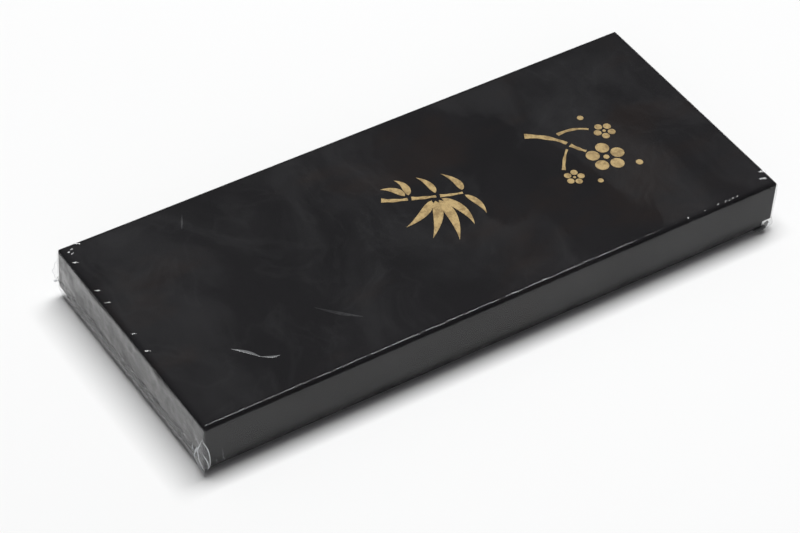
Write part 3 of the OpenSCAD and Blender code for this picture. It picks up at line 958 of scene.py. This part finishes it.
def satin_cover():
    """From the foot of the well up, over its lip, across the platform and down its outside."""
    hx, hy, top, foot = satin_hi.x, satin_hi.y, satin_hi.z, satin_lo.z
    lip, edge = 0.9 * MM, 1.2 * MM
    well_corner, corner = 1 * MM, 2 * MM
    rings = [(WELL_X, WELL_Y, well_corner, foot + i * (top - lip - foot) / 8) for i in range(9)]
    for i in range(1, 7):
        a = math.radians(90 * i / 6)
        grow = lip * (1 - math.cos(a))
        rings.append((WELL_X + grow, WELL_Y + grow, well_corner + grow, top - lip + lip * math.sin(a)))
    start = rings[-1]
    flat_x, flat_y = hx - edge, hy - edge
    for i in range(1, 15):
        t = i / 14
        sag = 0.12 * MM * math.sin(math.pi * t)
        rings.append((start[0] + (flat_x - start[0]) * t, start[1] + (flat_y - start[1]) * t,
                      start[2] + (corner - start[2]) * t, top - sag))
    for i in range(1, 7):
        a = math.radians(90 * i / 6)
        rings.append((flat_x + edge * math.sin(a), flat_y + edge * math.sin(a), corner,
                      top - edge + edge * math.cos(a)))
    rings += [(hx, hy, corner, top - edge - i * (top - edge - foot) / 5) for i in range(1, 6)]
    bm = skin(rings, *SATIN_CELLS)
    displace(bm, satin_height)
    cover = piece("insert_satin_cover", bm, SATIN, "base", ["insert_satin"],
                  thickness=0.15 * MM)
    return cover


def wadding_pad():
    """A pad whose top falls away towards its round sides."""
    hx, hy, low, high = pad_hi.x, pad_hi.y, pad_lo.z, pad_hi.z
    margin, corner, fall, foot_in = 4 * MM, 2.2 * MM, 0.8 * MM, 0.36 * MM
    rings = [(hx - margin, hy - margin, 0.0, high)]
    for i in range(1, 8):
        t = i / 7
        rings.append((hx - margin * (1 - t), hy - margin * (1 - t), corner * t, high - fall * t ** 2.2))
    rings.append((hx, hy, corner, (low + high - fall) / 2))
    rings.append((hx - foot_in, hy - foot_in, 1.6 * MM, low))
    rings.append((hx - margin, hy - margin, 0.0, low))
    bm = skin(rings, *PAD_CELLS, cap_first=True, cap_last=True)
    displace(bm, lambda co, n: -0.12 * MM * (0.5 + 0.5 * fbm(co, 5 * MM)) * smooth_step(0.2, 0.8, n.z))
    pad = piece("wadding_pad", bm, WADDING, "base", ["stick_pad"])
    return pad


def ribbon_path():
    """The ribbon's upper face in (y, z): along the pad, up the well's wall and over its lip."""
    thick = 0.22 * MM
    wall_y = WELL_Y - 0.02 * MM
    low = ribbon_lo.z + thick
    top = satin_hi.z + thick + 0.03 * MM
    bend, lip = 0.5 * MM, 0.5 * MM
    path = [(ribbon_lo.y, low)]
    path += line(path[0], (wall_y - thick - bend, low), 0.8 * MM)
    path += arc((wall_y - thick - bend, low + bend), bend, -90, 0, 6)[1:]
    path += line(path[-1], (wall_y - thick, top - lip), 0.8 * MM)
    path += arc((wall_y - thick + lip, top - lip), lip, 180, 90, 6)[1:]
    return path, top, thick


def lifting_ribbon():
    """The ribbon along its path, then lying out over the satin to a forked end."""
    path, top, thick = ribbon_path()
    start_y, end_y = path[-1][0], ribbon_hi.y
    notch = 4 * MM
    half = ribbon_hi.x
    for y, z in line(path[-1], (end_y, top), 0.6 * MM):
        t = (y - start_y) / (end_y - start_y)
        path.append((y, z + 0.5 * MM * t * t + 0.12 * MM * math.sin(5 * t) * t))
    bm = bmesh.new()
    across = 13
    rows = []
    for y, z in path:
        row = []
        for k in range(across):
            s = 2 * k / (across - 1) - 1
            row.append(bm.verts.new((s * half, min(y, end_y - notch * (1 - abs(s))), z)))
        rows.append(row)
    join_rows(bm, rows)
    ribbon = piece("lifting_ribbon", cleaned(bm, 2e-6), RIBBON, "base", ["lift_ribbon"],
                   thickness=thick)
    return ribbon


satin_cover()
wadding_pad()
lifting_ribbon()

# -------- ink stick


def stick_relief(co):
    """Slight unevenness of a moulded and dried stick."""
    return (0.05 * fbm(co, 16 * MM) + 0.015 * fbm(co, 3 * MM)) * MM


def moulded_stick():
    """From the sunk panel over its border and the round edges, down to the underside."""
    hx, hy, low, high = stick_hi.x, stick_hi.y, stick_lo.z, stick_hi.z
    r, margin, sunk = 1.5 * MM, 3 * MM, high - inlay_lo.z
    panel = ((-0.35, 0.0, sunk), (-0.3, 1.7, sunk), (-0.12, 1.9, sunk * 0.7), (0, 2, 0.1 * MM),
             (0.15, 2.1, 0))
    rings = [(hx - margin + out * MM, hy - margin + out * MM, corner * MM, high - down)
             for out, corner, down in panel]
    for out, z in arc((-r, high - r), r, 90, 0, 7):
        rings.append((hx + out, hy + out, max(r + out, 0.0) * 0.9 + 0.2 * MM, z))
    for _, z in line((0, high - r), (0, low + r), 1.6 * MM):
        rings.append((hx, hy, r * 0.9 + 0.2 * MM, z))
    for out, z in arc((-r, low + r), r, 0, -90, 6)[1:]:
        rings.append((hx + out, hy + out, max(r + out, 0.0), z))
    bm = skin(rings, *STICK_CELLS, cap_first=True, cap_last=True)
    displace(bm, lambda co, n: stick_relief(co) * (1 if n.z > -0.5 else 0) - 0.03 * MM * (n.z < 0.9))
    return piece("moulded_ink_stick", bm, INK, "stick", ["ink_stick"])


moulded_stick()

# -------- finishes of the CAD nodes

FINISHES = {
    "lid_board": BOARD, "base_board": BOARD,
    "lid_corner_stays": STAY, "base_corner_stays": STAY,
    "lid_lining_paper": LINING, "base_lining_paper": LINING,
    "insert_platform": FOAM,
    "bamboo_foil": FOIL_NEAR, "plum_foil": FOIL_FAR,
    "stick_gold_inlay": PAINT,
}
for node, material in FINISHES.items():
    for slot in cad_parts[node].material_slots:
        slot.material = material

# -------- stage, light and camera

TABLE_SIZE = 3.0
TABLE_GAP = 0.02 * MM                  # how far the table lies under the box
LAMP_PLACE, LAMP_SIZE, LAMP_WATTS = (0.28, 0.38, 2.4), (2.2, 0.9), 70
ROOM_NEAR, ROOM_FAR = 0.03, 0.13       # brightness of the mirrored room towards -Y and +Y
GLOW_TOWARD, GLOW = (-0.6, -0.8, 0.0), 0.5
AZIMUTH, ELEVATION, ROLL = math.radians(-36.4), math.radians(43.66), math.radians(4.32)
AIM, DISTANCE = (-0.0335, 0.0067, 0), 4.556    # in lengths of the box
LENS, SENSOR = 138.0, 36               # in mm


def stage_floor():
    bm = bmesh.new()
    bmesh.ops.create_grid(bm, x_segments=8, y_segments=8, size=TABLE_SIZE)
    mesh = bpy.data.meshes.new("white_table")
    bm.to_mesh(mesh)
    bm.free()
    mesh.materials.append(floor_material())
    table = placed("white_table", mesh)
    table.location.z = cad_low.z - TABLE_GAP


def turned(x_axis, y_axis, z_axis):
    """The rotation whose local axes are the three given."""
    return Matrix((x_axis, y_axis, z_axis)).transposed().to_quaternion()


def softbox(name, place, size, watts):
    """A soft box that faces the origin, with its long side along X."""
    light = bpy.data.lights.new(name, "AREA")
    light.shape = "RECTANGLE"
    light.size, light.size_y = size
    light.energy = watts
    lamp = placed(name, light)
    back = Vector(place).normalized()
    side = Vector((0, 1, 0)).cross(back).normalized()
    lamp.location = place
    lamp.rotation_mode = "QUATERNION"
    lamp.rotation_quaternion = turned(side, back.cross(side), back)


def studio_world():
    """A dim room to be mirrored, dimmer in front than behind, with a pale glow low in the near left.
    It shows white to the camera."""
    world = bpy.data.worlds.new("studio")
    bpy.context.scene.world = world
    look = Look("studio", world)
    room = look.spread(look.axes()[1], -0.4, 0.7, ROOM_NEAR, ROOM_FAR, "LINEAR")
    toward = look.add("ShaderNodeVectorMath")
    toward.operation = "DOT_PRODUCT"
    look.feed(toward.inputs[0], look.place)
    look.feed(toward.inputs[1], GLOW_TOWARD)
    glow = look.spread(toward.outputs["Value"], 0.5, 1.0, 0.0, GLOW)
    dim = look.add("ShaderNodeBackground", Color=(0.97, 0.96, 1.0, 1.0),
                   Strength=look.maths("ADD", room, glow))
    white = look.add("ShaderNodeBackground", Color=(0.96, 0.965, 0.96, 1.0))
    seen = look.add("ShaderNodeLightPath").outputs["Is Camera Ray"]
    look.shade(look.blend(seen, dim, white))


def studio_camera():
    """The view from the near left, over 40 degrees up, far off with a long lens."""
    length = 2 * HALF_L
    back = Vector((math.sin(AZIMUTH) * math.cos(ELEVATION), -math.cos(AZIMUTH) * math.cos(ELEVATION),
                   math.sin(ELEVATION)))
    data = bpy.data.cameras.new("camera")
    data.sensor_width = SENSOR
    data.lens = LENS
    data.clip_start, data.clip_end = 0.05, 20
    camera = placed("camera", data)
    camera.location = Vector(AIM) * length + back * (DISTANCE * length)
    right = (-back).cross(Vector((0, 0, 1))).normalized()
    up = right.cross(-back)
    tilted = right * math.cos(ROLL) + up * math.sin(ROLL)
    upright = up * math.cos(ROLL) - right * math.sin(ROLL)
    camera.rotation_mode = "QUATERNION"
    camera.rotation_quaternion = turned(tilted, upright, back)
    bpy.context.scene.camera = camera


stage_floor()
softbox("overhead", LAMP_PLACE, LAMP_SIZE, LAMP_WATTS)
studio_world()
studio_camera()
bpy.context.scene.view_settings.view_transform = "Standard"
